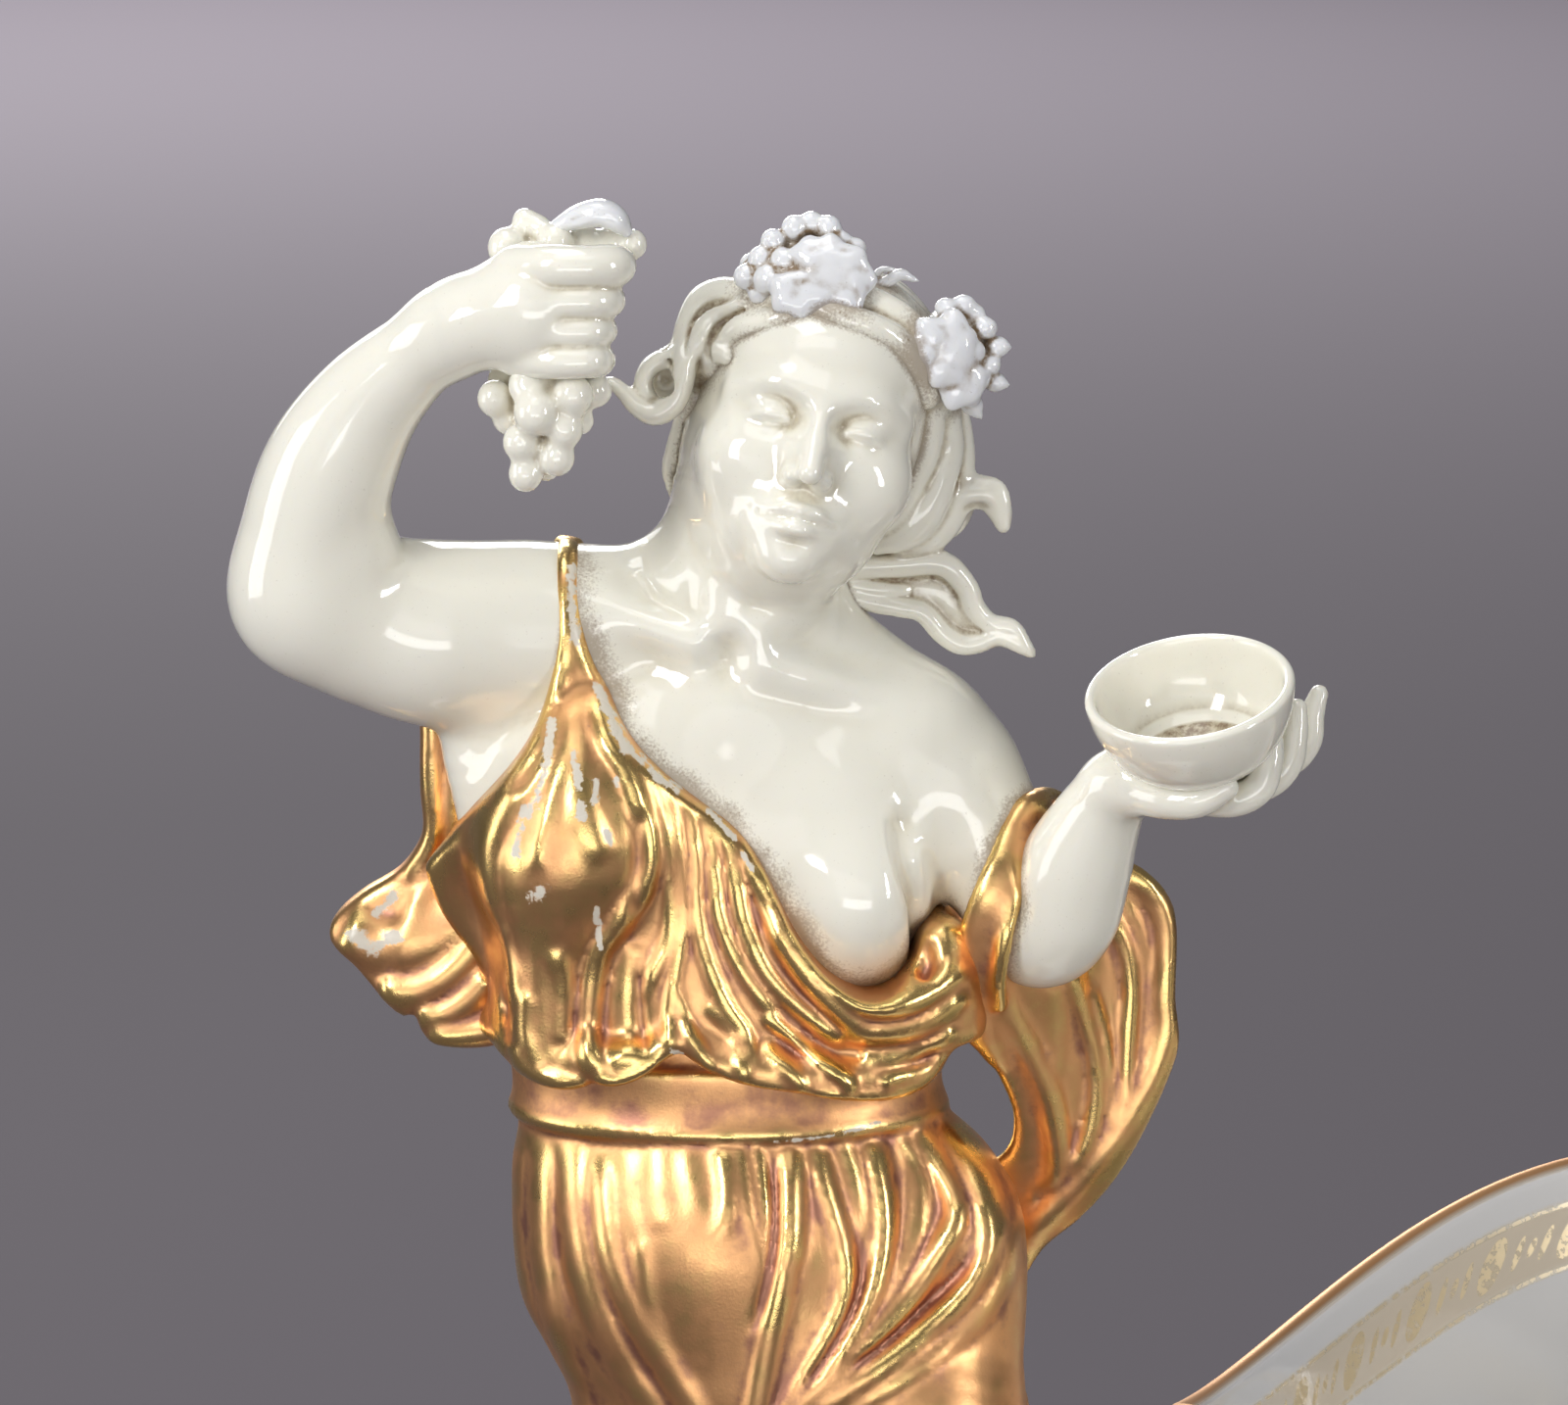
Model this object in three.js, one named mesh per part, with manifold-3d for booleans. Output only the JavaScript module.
// A porcelain figural planter: a dancing bacchante with grapes and a wine cup beside a lobed bowl,
// both on a low oval base. Millimetres, +Z up, the front of the figure towards -Y.
// The origin is the centre of the base's underside.
import * as THREE from "three";
import { LoftGeometry } from "three/addons/geometries/LoftGeometry.js";
import { mergeVertices } from "three/addons/utils/BufferGeometryUtils.js";
import Module from "manifold-3d";

const wasm = await Module();
wasm.setup();

// Driving dimensions
const TOUCHING_GAP = 0.3;
const BASE_HALF_LENGTH = 150;
const BASE_HALF_WIDTH = 84;
const BASE_HEIGHT = 20;
const FIGURE_X = -100;
const GROUND_HEIGHT = 26;
const BOWL_X = 80;
const BOWL_Y = -7.5;
const BOWL_RIM_RADIUS = 124;
const BOWL_RIM_HEIGHT = 177;
const BOWL_WALL = 4.5;
const BOWL_FOOT_RADIUS = 55;
const BOWL_STEM_RADIUS = 28;
const RIM_LOBES = 4;
const RIM_WAVE = 8.9;
const RIM_WAVE_PHASE = 0.371;
const GADROONS = 10;
const GADROON_DEPTH = 1.8;
const GRAPE_RADIUS = 3.1;
const CUP_RADIUS = 14.2;
const CUP_DEPTH = 12;
const CUP_WALL = 1.4;
const CLOTH_THICKNESS = 2.2;

const vec = (x, y, z) => new THREE.Vector3(x, y, z);
const degrees = THREE.MathUtils.degToRad;
const smooth = THREE.MathUtils.smoothstep;
const count = (n) => Array.from({ length: n }, (_, i) => i);
const turnOf = (share) => share * 2 * Math.PI;

// A closed three.js geometry as a manifold-3d solid.
function solid(geometry) {
  const bare = new THREE.BufferGeometry();
  bare.setAttribute("position", geometry.getAttribute("position").clone());
  bare.setIndex(geometry.index ? geometry.index.clone() : null);
  const merged = mergeVertices(bare, 1e-4);
  const index = [...merged.index.array];
  const kept = count(index.length / 3)
    .map((i) => index.slice(3 * i, 3 * i + 3))
    .filter(([a, b, c]) => a !== b && b !== c && a !== c);
  const mesh = new wasm.Mesh({
    numProp: 3,
    vertProperties: new Float32Array(merged.attributes.position.array),
    triVerts: new Uint32Array(kept.flat()),
  });
  return new wasm.Manifold(mesh);
}

// A manifold-3d solid back as a three.js geometry.
function geometryOf(made) {
  const mesh = made.getMesh();
  const points = new Float32Array(mesh.numVert * 3);
  for (let i = 0; i < mesh.numVert; i++) {
    points.set(mesh.vertProperties.subarray(i * mesh.numProp, i * mesh.numProp + 3), i * 3);
  }
  const geometry = new THREE.BufferGeometry();
  geometry.setAttribute("position", new THREE.BufferAttribute(points, 3));
  geometry.setIndex(new THREE.BufferAttribute(mesh.triVerts, 1));
  geometry.computeVertexNormals();
  return geometry;
}

const join = (pieces) => pieces.reduce((whole, piece) => whole.add(piece));

// Joined pieces can close round a small space: what is kept is the outer skin, solid inside.
const filled = (made) => join(made.decompose().filter((body) => body.volume() > 0));

// A lofted body with its faces outwards: sections that wind the wrong way are turned round.
function loft(sections) {
  const [first, next] = sections;
  const middle = (section) =>
    section.reduce((sum, point) => sum.add(point), vec(0, 0, 0)).divideScalar(section.length);
  const centre = middle(first);
  const onwards = middle(next).sub(centre);
  const normal = vec(0, 0, 0);
  first.forEach((point, j) => {
    const a = point.clone().sub(centre);
    const b = first[(j + 1) % first.length].clone().sub(centre);
    normal.add(a.cross(b));
  });
  const wound = normal.dot(onwards) > 0 ? sections : sections.map((s) => [...s].reverse());
  return solid(new LoftGeometry(wound, { capStart: true, capEnd: true }));
}

// Round sections along a smooth path of stations [x, y, z, radius], with rounded ends.
// A flat below 1 thins the sections along the direction given as across.
function limb(stations, sides, steps, flat = 1, across = vec(0, 1, 0)) {
  const path = new THREE.CatmullRomCurve3(stations.map((s) => vec(s[0], s[1], s[2])));
  const radiusAt = (t) => {
    const place = t * (stations.length - 1);
    const i = Math.min(Math.floor(place), stations.length - 2);
    return THREE.MathUtils.lerp(stations[i][3], stations[i + 1][3], place - i);
  };
  const sections = count(steps + 1).map((k) => {
    const t = k / steps;
    const end = k === 0 || k === steps ? 0.5 : 1;
    const along = path.getTangent(t);
    const thin = across.clone().addScaledVector(along, -across.dot(along)).normalize();
    const wide = vec(0, 0, 0).crossVectors(along, thin);
    return count(sides).map((j) => {
      const angle = turnOf(j / sides);
      return path
        .getPoint(t)
        .addScaledVector(wide, end * radiusAt(t) * Math.cos(angle))
        .addScaledVector(thin, end * radiusAt(t) * flat * Math.sin(angle));
    });
  });
  return loft(sections);
}

function ellipsoid(centre, radii, turn = new THREE.Matrix4(), across = 10, down = 7) {
  const ball = new THREE.SphereGeometry(1, across, down);
  ball.scale(...radii);
  ball.applyMatrix4(turn);
  ball.translate(...centre);
  return solid(ball);
}

function berry(centre, radius = GRAPE_RADIUS) {
  const ball = new THREE.IcosahedronGeometry(radius, 0);
  ball.translate(...centre);
  return solid(ball);
}

// The clothed body from the ground up: [height, centre x, centre y, half width, half depth, folds].
const BODY_STATIONS = [
  [GROUND_HEIGHT - 1, -2, -1, 36, 29, 4],
  [44, -2, -1, 31, 25, 4],
  [76, -1, 0, 27.5, 23, 3.4],
  [108, 1, -2, 29, 25, 2.6],
  [140, 3, -1, 32, 25.5, 2],
  [181, 3.5, 0, 33, 25.5, 1.4],
  [192, 0.8, 0, 35, 25, 1.2],
  [204, -1.4, 0, 34.5, 23, 1],
  [213, -3.4, 0, 32.4, 20.5, 0.8],
  [217.5, -4.6, 0, 29.8, 18.8, 0],
  [222.5, -5.4, 0, 29.8, 19.2, 0],
  [224.5, -5.6, 0, 32.5, 22.4, 1],
  [244, -6, 0, 33.6, 23, 1],
  [256, -10, 0, 31.6, 20, 0.4],
  [268, -8, 0.5, 27.5, 16.5, 0],
];
const BODY_SIDES = 28;
const SKIRT_FOLDS = 7;

// How far forward the clothed body comes at a place on its front.
function frontOf(x, z) {
  const last = BODY_STATIONS.length - 2;
  const above = BODY_STATIONS.findIndex((station) => station[0] >= z);
  const i = THREE.MathUtils.clamp(above < 0 ? last : above - 1, 0, last);
  const [low, high] = [BODY_STATIONS[i], BODY_STATIONS[i + 1]];
  const t = THREE.MathUtils.clamp((z - low[0]) / (high[0] - low[0]), 0, 1);
  const [, cx, cy, halfWidth, halfDepth] = low.map((value, k) => THREE.MathUtils.lerp(value, high[k], t));
  const side = THREE.MathUtils.clamp((x - cx) / halfWidth, -1, 1);
  return cy - halfDepth * Math.sqrt(1 - side * side);
}

// A raised fold that runs down the front through the places [x, z].
function fold(places, radius, buried = 0.2) {
  const stations = places.map(([x, z]) => [x, frontOf(x, z) + radius * buried, z, radius]);
  return limb(stations, 4, 3);
}

// The folds of the bodice fan out from the strap, and those of the skirt from the left hip.
const BODICE_FOLDS = [
  [[-27, 283], [-33, 270], [-45, 256]],
  [[-24, 283], [-13, 267], [-12, 250], [-9, 231]],
  [[-20, 279], [-6, 263], [-5, 248], [1, 230]],
  [[-16, 273], [-3, 256], [0, 242], [11.5, 228]],
  [[-5, 262], [3, 247], [14, 236], [25, 232]],
  [[-37, 248], [-37.5, 240], [-34, 229.5]],
  [[-22.5, 251], [-23, 240], [-22.5, 228.5]],
];
const SKIRT_RIDGES = [
  [[-31, 216], [-31.5, 202], [-26.5, 181], [-20, 150]],
  [[-22, 217], [-20, 201], [-9.5, 183], [-3, 160]],
  [[4.5, 217], [3.5, 200], [-0.5, 183], [-2, 160]],
  [[20, 216], [26.5, 204.5], [16, 193], [3, 178]],
  [[28.5, 211], [29, 198], [17, 189], [5, 180]],
];

function clothedBody() {
  const sections = BODY_STATIONS.map(([z, cx, cy, halfWidth, halfDepth, folds]) =>
    count(BODY_SIDES).map((j) => {
      const angle = turnOf(j / BODY_SIDES);
      const wave = folds * (Math.cos(SKIRT_FOLDS * angle) - 1) * 0.5;
      const x = cx + (halfWidth + wave) * Math.cos(angle);
      return vec(x, cy + (halfDepth + wave) * Math.sin(angle), z);
    }),
  );
  const thigh = [
    [17, -7, 184, 13],
    [18, -12, 150, 16],
    [15, -15, 122, 13.5],
    [11, -9, 86, 9],
  ];
  return join([
    loft(sections),
    limb(thigh, 10, 4),
    limb([[-31, -4, 280, 6], [-37, -4, 268, 7.5], [-39, -2, 258, 7]], 8, 3, 0.7),
    ellipsoid([11, -8, 257], [15, 16, 19], undefined, 12, 8),
    ellipsoid([-24, -8, 260], [16, 17.5, 19], undefined, 12, 8),
    ...BODICE_FOLDS.map((places) => fold(places, 1.9)),
    ...SKIRT_RIDGES.map((places) => fold(places, 2.2)),
  ]);
}

// The bare neck and upper chest.
function neckAndChest() {
  return join([
    limb([[-5, 1, 280, 12], [-3, -1, 292, 11], [4, -1, 304, 11.5]], 9, 3),
    ellipsoid([-5, 0, 268], [27, 17, 19], undefined, 12, 7),
  ]);
}

function shoulderStrap() {
  const over = [
    [-24.5, -16, 281, 2.6],
    [-27, -11, 294, 2.1],
    [-27, 0, 299, 2],
    [-25, 10, 292, 2.2],
    [-20, 14, 279, 2.6],
  ];
  return limb(over, 6, 8, 0.8);
}

// The right arm from the neck out to the raised hand, whose four fingers close on the grapes.
function rightArm() {
  const arm = [
    [-8, 2, 290, 9],
    [-27, 0, 285, 12],
    [-44, -4, 285.5, 11.4],
    [-58, -8, 291, 10.6],
    [-63.5, -12, 300, 9.8],
    [-58, -15, 312, 8.6],
    [-49, -19, 322.5, 6.8],
    [-41, -22, 328.5, 6.4],
    [-31, -24, 332.5, 8],
  ];
  const fingers = count(4).map((i) => {
    const z = 341 - 4.7 * i;
    const reach = -19 - 0.7 * i;
    const bend = [
      [-33, -27, z - 0.5, 2.7],
      [-25, -30, z, 2.7],
      [reach, -27, z, 2.5],
      [reach + 0.5, -21, z, 2.1],
      [-24, -19.5, z, 2],
    ];
    return limb(bend, 5, 4);
  });
  return join([limb(arm, 10, 12), ...fingers]);
}

// A bunch of grapes: rings of berries about a core, each ring as wide as its height asks.
function bunch(top, bottom, widest, rings, hiddenRings = 0) {
  const berries = count(rings).slice(hiddenRings).flatMap((k) => {
    const t = k / (rings - 1);
    const reach = widest * Math.sqrt(1 - t * 0.98);
    const around = Math.max(1, Math.round((2.6 * reach) / GRAPE_RADIUS));
    return count(around).map((i) => {
      const angle = turnOf(i / around) + k * 1.1;
      const place = vec(...top).lerp(vec(...bottom), t);
      place.add(vec(reach * Math.cos(angle), reach * 0.8 * Math.sin(angle), 0));
      return berry(place.toArray());
    });
  });
  return join([limb([[...top, widest], [...bottom, 1.6]], 6, 2), ...berries]);
}

function grapes() {
  return join([
    bunch([-30.5, -23, 326.5], [-31.5, -24, 311.5], 5.8, 4, 1),
    bunch([-28.5, -23, 341], [-29, -22, 345], 5.6, 2),
    limb([[-29, -23, 342, 3], [-24, -22, 346, 4], [-18.5, -21, 343.5, 2]], 6, 3, 0.6),
    limb([[-31, -23, 316, 3], [-29, -23, 343, 4]], 6, 1),
  ]);
}

const CUP_RIM_CENTRE = vec(56.8, -26, 283);
const cupTurn = new THREE.Matrix4()
  .makeRotationY(degrees(-13))
  .multiply(new THREE.Matrix4().makeRotationX(degrees(19)));

// The cup's wall is turned on its own axis, rim upwards, then tipped towards the viewer.
function cup() {
  const quarter = 4;
  const bowlAt = (radius, depth, share) => {
    const angle = (share * Math.PI) / 2;
    return new THREE.Vector2(radius * Math.sin(angle), -depth * Math.cos(angle));
  };
  const outside = count(quarter + 1).map((i) => bowlAt(CUP_RADIUS, CUP_DEPTH, i / quarter));
  const inside = count(quarter + 1).map((i) =>
    bowlAt(CUP_RADIUS - CUP_WALL, CUP_DEPTH - CUP_WALL, 1 - i / quarter),
  );
  const shell = new THREE.LatheGeometry([...outside, ...inside], 18);
  shell.rotateX(Math.PI / 2);
  shell.applyMatrix4(cupTurn);
  shell.translate(...CUP_RIM_CENTRE.toArray());
  return solid(shell);
}

// The left arm from the neck down to the elbow and up to the palm under the cup.
function leftArm() {
  const arm = [
    [2, 2, 288, 9],
    [13, 1, 279, 9.5],
    [22.5, -1, 268.5, 10.4],
    [30, -4, 259, 9],
    [40, -8, 248, 8.8],
    [44.5, -13, 256, 7.8],
    [47, -17, 266, 5.4],
    [50.5, -20, 270.5, 4.6],
  ];
  const palm = [
    [49, -20, 270, 4.6],
    [60, -22, 269.5, 3.8],
    [67, -23, 271.6, 3],
  ];
  const fingers = count(3).map((i) => {
    const y = -27 + 4.2 * i;
    const out = 2.2 * i;
    const bend = [
      [58, y, 269, 2.4],
      [67 + out * 0.5, y, 271, 2.2],
      [69.5 + out, y - 0.4, 275.5, 2],
      [70.3 + out, y - 1, 280, 1.8],
    ];
    return limb(bend, 5, 4);
  });
  const forefinger = limb([[50, -24, 270, 2.8], [58, -30, 268, 2.4], [64.4, -31, 269.6, 1.9]], 5, 3);
  return join([limb(arm, 10, 12), limb(palm, 7, 3, 0.7, vec(0, 0, 1)), ...fingers, forefinger]);
}

// The head's own frame: tipped over to the figure's left, thrown back, and turned a little.
const HEAD_CENTRE = vec(8.6, -3, 316);
const headTurn = new THREE.Matrix4()
  .makeRotationZ(degrees(-6))
  .multiply(new THREE.Matrix4().makeRotationY(degrees(20)))
  .multiply(new THREE.Matrix4().makeRotationX(degrees(-15)));
const onHead = (x, y, z) => vec(x, y, z).applyMatrix4(headTurn).add(HEAD_CENTRE);
const headStation = (x, y, z, radius) => [...onHead(x, y, z).toArray(), radius];

function head() {
  return join([
    ellipsoid(onHead(0, 0, 1).toArray(), [14.5, 17.5, 20], headTurn, 10, 8),
    ellipsoid(onHead(0, -6.5, -12).toArray(), [10, 10, 9], headTurn),
    limb([headStation(0, -17, 1, 1.6), headStation(0, -18.6, -5.5, 2.3)], 6, 2),
    ellipsoid(onHead(0, 4, 4).toArray(), [18.5, 17.5, 18.5], headTurn, 10, 8),
  ]);
}

// Waves of hair drawn back from the brow on both sides, then the locks that blow free.
function hair() {
  const waves = [-1, 1].flatMap((side) =>
    count(3).map((i) => {
      const lift = i / 2;
      const start = headStation(side * (4 + 9 * lift), -14 + 5 * lift, 17 - 7 * lift, 3.4);
      const middle = headStation(side * (10 + 8 * lift), -6 + 5 * lift, 18.5 - 13 * lift, 4.2);
      const end = headStation(side * (15 + 3 * lift), 6 + 4 * lift, 12 - 17 * lift, 3.8);
      return limb([start, middle, end], 5, 3);
    }),
  );
  const curl = [
    headStation(-16, -6, 6, 4),
    headStation(-20, -7, -1, 3.8),
    headStation(-26, -7, -3.5, 3.2),
    headStation(-30, -7, 1, 2.3),
    headStation(-32.5, -7, 3.5, 1.6),
  ];
  const sideLock = [
    [24, 2, 318, 4.8],
    [27, 4, 308, 5],
    [29, 3, 301, 3.4],
    [32.5, 2, 305, 2.2],
    [33.5, 1, 301, 1.8],
  ];
  const fallingLock = [
    [12, 8, 304, 5],
    [17, 6, 297, 4.6],
    [25, 3, 295, 4.6],
    [28.5, 1, 287.5, 3.6],
    [33, 0, 286, 2.4],
    [37, -1, 282.6, 1.6],
  ];
  const nape = [
    [-6, 4, 318, 5],
    [-11.5, 5, 308, 3],
    [-12.4, 5, 300, 1.8],
  ];
  const knot = [headStation(0, 16, 0, 9), headStation(0, 21, -7, 7.5), headStation(2, 16, -14, 5)];
  return join([
    ...waves,
    limb(curl, 6, 7),
    limb(sideLock, 6, 7),
    limb(fallingLock, 6, 8, 0.6),
    limb(nape, 5, 3),
    limb(knot, 7, 3),
  ]);
}

// Two posies of berries and leaves on the brow, with the twig between them.
function wreath() {
  const posies = [[-7.5, -7, 21.5, 6.8], [17, -6, 14, 6.4]];
  const berries = 7;
  const heads = posies.flatMap(([x, y, z, reach]) => [
    ellipsoid(onHead(x, y, z - 1).toArray(), [7, 7, 4.6], headTurn, 7, 4),
    ...count(berries).map((i) => {
      const angle = i * 2.4;
      const out = reach * Math.sqrt((i + 0.5) / berries);
      const rise = (reach - out) * 0.5;
      const place = onHead(x + out * Math.cos(angle), y + out * Math.sin(angle), z + rise);
      return berry(place.toArray(), 2.9);
    }),
  ]);
  const twig = [
    headStation(-8, -7, 20.5, 2),
    headStation(4, -8, 21.5, 2.4),
    headStation(18, -6, 12.5, 2),
  ];
  return join([...heads, limb(twig, 6, 5)]);
}

// The end of the mantle that hangs from the left elbow: [height, centre x, centre y, half width].
const MANTLE_LEFT = [
  [263, 34, -5, 4],
  [254, 37.5, -1, 8.5],
  [246, 42, 4, 12.5],
  [236, 45, 6, 12.8],
  [226, 47, 7, 11],
  [214, 46, 7, 8.6],
  [203, 40.5, 6, 7],
  [193, 34.5, 5, 5],
  [184, 29, 4, 4],
];
// The end that billows out under the right arm.
const MANTLE_RIGHT = [
  [274, -44, 4, 2.6],
  [264, -43.8, 4, 3.2],
  [256, -44, 5, 6],
  [249, -47, 5, 10],
  [242, -50, 5, 10.2],
  [235, -47, 5, 9.2],
  [229, -43, 4, 6],
];
const MANTLE_FOLDS = 4;

function hangingCloth(stations, bulge) {
  const sides = 12;
  const sections = stations.map(([z, cx, cy, halfWidth]) =>
    count(sides).map((j) => {
      const angle = turnOf(j / sides);
      const across = Math.cos(angle);
      const hollow = bulge * (1 - across * across);
      const pleat = 0.9 * Math.cos(MANTLE_FOLDS * Math.PI * across);
      return vec(cx + halfWidth * across, cy + hollow + pleat + CLOTH_THICKNESS * Math.sin(angle), z);
    }),
  );
  return loft(sections);
}

// The mantle passes behind the waist and joins its two ends.
function mantle() {
  const behind = [
    [-44, 7, 246, 7],
    [-32, 17, 240, 9],
    [-8, 23, 234, 10],
    [16, 19, 236, 9],
    [38, 8, 243, 7],
  ];
  return join([
    hangingCloth(MANTLE_LEFT, 3),
    hangingCloth(MANTLE_RIGHT, -2),
    limb(behind, 8, 8, 0.4),
  ]);
}

// The mound that the figure stands on, ragged in plan, with the two feet under the hem.
function feetAndMound() {
  const feet = [
    [[-12, -20, 30, 4.6], [-14, -37, 28.6, 3.4]],
    [[11, -18, 30, 4.6], [16, -35, 28.6, 3.4]],
  ];
  const bottom = BASE_HEIGHT + TOUCHING_GAP;
  const levels = [[bottom, 44], [bottom + 3, 43.5], [GROUND_HEIGHT, 41]];
  const sections = levels.map(([z, reach]) =>
    count(24).map((j) => {
      const angle = turnOf(j / 24);
      const ragged = reach * (1 + 0.04 * Math.cos(5 * angle + 1));
      return vec(-1 + ragged * Math.cos(angle), -4 + ragged * Math.sin(angle), z);
    }),
  );
  return join([loft(sections), ...feet.map((foot) => limb(foot, 8, 3, 0.8, vec(0, 0, 1)))]);
}

function figureGeometry() {
  const made = join([
    feetAndMound(),
    clothedBody(),
    neckAndChest(),
    shoulderStrap(),
    rightArm(),
    grapes(),
    leftArm(),
    cup(),
    head(),
    hair(),
    wreath(),
    mantle(),
  ]);
  return geometryOf(filled(made));
}

// The base's outline is a squarish oval. It steps in as it rises: [height, inset].
const BASE_PROFILE = [
  [0, 2],
  [2.5, 0],
  [7, 0],
  [10, 4],
  [17, 5],
  [BASE_HEIGHT, 7],
];
const BASE_SIDES = 36;
const OVAL_POWER = 2.4;

function baseGeometry() {
  const along = (value, reach) => reach * Math.sign(value) * Math.abs(value) ** (2 / OVAL_POWER);
  const sections = BASE_PROFILE.map(([z, inset]) =>
    count(BASE_SIDES).map((j) => {
      const angle = turnOf(j / BASE_SIDES);
      const x = along(Math.cos(angle), BASE_HALF_LENGTH - inset);
      return vec(x, along(Math.sin(angle), BASE_HALF_WIDTH - inset), z);
    }),
  );
  return geometryOf(loft(sections));
}

// The bowl's profile from the middle of its foot, up the outside, over the rim and down the inside.
const FOOT_BOTTOM = BASE_HEIGHT + TOUCHING_GAP;
const BOWL_OUTSIDE = [
  [0, FOOT_BOTTOM],
  [BOWL_FOOT_RADIUS - 1, FOOT_BOTTOM],
  [BOWL_FOOT_RADIUS, FOOT_BOTTOM + 4],
  [BOWL_FOOT_RADIUS - 8, FOOT_BOTTOM + 11],
  [BOWL_STEM_RADIUS + 3, FOOT_BOTTOM + 19],
  [BOWL_STEM_RADIUS, FOOT_BOTTOM + 26],
  [60, 67],
  [88, 86],
  [107, 114],
  [116, 146],
  [BOWL_RIM_RADIUS, BOWL_RIM_HEIGHT - 1],
];
const BOWL_INSIDE = [
  [BOWL_RIM_RADIUS - 1.5, BOWL_RIM_HEIGHT],
  [BOWL_RIM_RADIUS - BOWL_WALL, BOWL_RIM_HEIGHT - 1.5],
  [116 - BOWL_WALL, 146],
  [107 - BOWL_WALL, 116],
  [88 - BOWL_WALL, 90],
  [60 - BOWL_WALL, 72],
  [24, 64],
  [0, 62],
];
const BOWL_SIDES = 40;

function bowlGeometry() {
  const profile = [...BOWL_OUTSIDE, ...BOWL_INSIDE].map(([radius, z]) => new THREE.Vector2(radius, z));
  const turned = new THREE.LatheGeometry(profile, BOWL_SIDES);
  const place = turned.getAttribute("position");
  for (let i = 0; i < place.count; i++) {
    const height = place.getY(i);
    const radius = Math.hypot(place.getX(i), place.getZ(i));
    const angle = Math.atan2(-place.getZ(i), place.getX(i));
    const lobe = Math.cos(RIM_LOBES * (angle - RIM_WAVE_PHASE)) * smooth(height, 90, BOWL_RIM_HEIGHT);
    const outside = i % profile.length < BOWL_OUTSIDE.length;
    const belly = outside ? smooth(height, 56, 66) * (1 - smooth(height, 95, 125)) : 0;
    const valley = 1 - Math.abs(Math.cos((GADROONS * angle) / 2));
    const share = radius > 0 ? (radius - GADROON_DEPTH * belly * valley) / radius : 1;
    place.setXYZ(i, place.getX(i) * share, height + RIM_WAVE * lobe, place.getZ(i) * share);
  }
  turned.rotateX(Math.PI / 2);
  return geometryOf(solid(turned));
}

const ivoryGlaze = new THREE.MeshStandardMaterial({ color: 0xece6d2, roughness: 0.12, metalness: 0 });
const whiteGlaze = new THREE.MeshStandardMaterial({ color: 0xe9ebee, roughness: 0.1, metalness: 0 });

function named(name, geometry, material, x = 0, y = 0) {
  const mesh = new THREE.Mesh(geometry, material);
  mesh.name = name;
  mesh.position.set(x, y, 0);
  return mesh;
}

const planter = new THREE.Group();
planter.add(named("base", baseGeometry(), whiteGlaze));
planter.add(named("bacchante", figureGeometry(), ivoryGlaze.clone(), FIGURE_X));
planter.add(named("planter_bowl", bowlGeometry(), whiteGlaze.clone(), BOWL_X, BOWL_Y));

export default planter;
